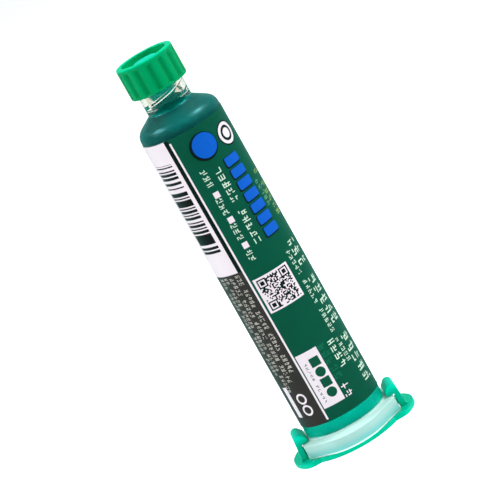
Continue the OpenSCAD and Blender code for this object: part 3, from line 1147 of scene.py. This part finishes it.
def place_camera():
    """The camera at the photograph's viewing angle and lean, fitted to points measured on it."""
    distance = 816.5 * MM
    azimuth = math.radians(-0.553)
    elevation = math.radians(12.744)
    lean = math.radians(29.44)
    look = Vector((
        math.sin(azimuth) * math.cos(elevation),
        math.cos(azimuth) * math.cos(elevation),
        -math.sin(elevation),
    ))
    bpy.ops.object.select_all(action="DESELECT")
    bpy.ops.object.camera_add(location=target - look * distance)
    camera = bpy.context.object
    camera.name = "camera"
    camera.rotation_mode = "QUATERNION"
    camera.rotation_quaternion = look.to_track_quat("-Z", "Y") @ Quaternion((0, 0, 1), -lean)
    camera.data.lens = 278.5
    camera.data.sensor_width = 36
    camera.data.shift_y = -0.0074
    camera.data.clip_start = 0.05
    camera.data.clip_end = 20
    bpy.context.scene.camera = camera


def lay_floor():
    """A plain pale floor that glows a little and doesn't show in the gloss."""
    bpy.ops.mesh.primitive_circle_add(vertices=96, radius=4, fill_type="NGON", location=(0, 0, 0))
    floor = bpy.context.object
    floor.name = "floor"
    paper = start_material(
        "white_paper_floor", Base_Color=colour("F6F6F6"), Roughness=0.9, Specular_IOR_Level=0.0,
        Emission_Color=colour("FFFFFF"), Emission_Strength=0.66,
    )[0]
    floor.data.materials.append(paper)
    floor.visible_glossy = False


def hang_lamps():
    """Two softboxes that show in the gloss, and three fills that don't."""
    for name, azimuth, elevation, away, width, height, power, mirrored in (
        ("softbox_left", -92, 52, 0.7, 0.3, 0.22, 2.1, True),
        ("softbox_right", 85, 53, 0.7, 0.3, 0.22, 2.8, True),
        ("low_fill_left", -60, 8, 1.2, 0.6, 0.5, 3.1, False),
        ("low_fill_right", 55, 8, 1.2, 0.6, 0.5, 3.4, False),
        ("top_fill", 0, 80, 1.2, 0.6, 0.6, 5.6, False),
    ):
        turn, lift = math.radians(azimuth), math.radians(elevation)
        aim = Vector((
            math.sin(turn) * math.cos(lift), -math.cos(turn) * math.cos(lift), math.sin(lift)
        ))
        bpy.ops.object.light_add(type="AREA", location=target + aim * away)
        lamp = bpy.context.object
        lamp.name = name
        lamp.data.shape = "RECTANGLE"
        lamp.data.size = width
        lamp.data.size_y = height
        lamp.data.energy = power
        lamp.rotation_mode = "QUATERNION"
        lamp.rotation_quaternion = (-aim).to_track_quat("-Z", "Y")
        lamp.visible_glossy = lamp.visible_transmission = mirrored


def light_studio():
    """A dim studio that is brighter behind the syringe and below it, and Standard colours."""
    world = bpy.data.worlds.new("studio")
    world.use_nodes = True
    tree = world.node_tree
    sky = tree.nodes["Background"]
    sky.inputs["Color"].default_value = colour("A8FFF4")
    way = add(tree, "ShaderNodeTexCoord").outputs["Generated"]
    bright_way = (0, 1, -0.7)
    towards = add(tree, "ShaderNodeVectorMath", {"operation": "DOT_PRODUCT"}, i0=way, i1=bright_way)
    level = add(
        tree, "ShaderNodeMapRange",
        Value=towards.outputs["Value"], From_Min=-0.1, From_Max=0.7, To_Min=0.02, To_Max=0.5,
    )
    tree.links.new(level.outputs["Result"], sky.inputs["Strength"])
    bpy.context.scene.world = world
    bpy.context.scene.view_settings.view_transform = "Standard"


# Finishing each piece

def dress(piece, body, slot, node, *materials):
    """Gives a piece its finish, fixes it to its body and hides the frame's node that it stands for."""
    bpy.ops.object.select_all(action="DESELECT")
    piece.select_set(True)
    bpy.context.view_layer.objects.active = piece
    bpy.ops.object.shade_smooth_by_angle(angle=SHARP)
    even = piece.modifiers.new("WeightedNormal", "WEIGHTED_NORMAL")
    even.keep_sharp = True
    bpy.ops.object.modifier_apply(modifier=even.name)
    piece.data.materials.clear()
    for material in materials:
        piece.data.materials.append(material)
    if body:
        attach(piece, body)
    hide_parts(node)


def part_finishes(barrel, milky, glossy, stained):
    """Gives the flange, the collar and the collar's floor their own slots; the rest keeps slot 0."""
    slack = 0.1
    floor_high = root_z + 0.4
    floor_near = 2
    floor_far = collar_in - 0.05
    for face in barrel.data.polygons:
        corners = [barrel.data.vertices[i].co / MM for i in face.vertices]
        near = min(math.hypot(p.x, p.y) for p in corners)
        far = max(math.hypot(p.x, p.y) for p in corners)
        low = min(p.z for p in corners)
        high = max(p.z for p in corners)
        if high < flange_top + flange_fillet + slack and near > barrel_r - slack:
            face.material_index = milky
        elif floor_z - slack < low and high < floor_high and floor_near < near and far < floor_far:
            face.material_index = stained
        elif low > collar_z:
            face.material_index = glossy


place_camera()
lay_floor()
hang_lamps()
light_studio()

barrel = make_barrel()
dress(
    barrel, "barrel", "barrel_polypropylene", "barrel",
    tube_polypropylene(), milky_polypropylene(), collar_polypropylene(), stained_polypropylene(),
)
part_finishes(barrel, milky=1, glossy=2, stained=3)

ink = make_ink()
dress(ink, None, "solder_mask_ink", "solder_mask_ink", solder_mask_paste())
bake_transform(ink)

piston = make_piston()
dress(piston, "piston", "piston_polyethylene", "piston", natural_polyethylene())

label = make_label()
dress(label, "barrel", "label_film", "label", printed_film())

tip_cap = make_tip_cap()
dress(tip_cap, "tip_cap", "tip_cap_polypropylene", "tip_cap", green_polypropylene())

end_cap = make_end_cap()
dress(end_cap, "end_cap", "end_cap_polyethylene", "end_cap", sea_green_polyethylene())
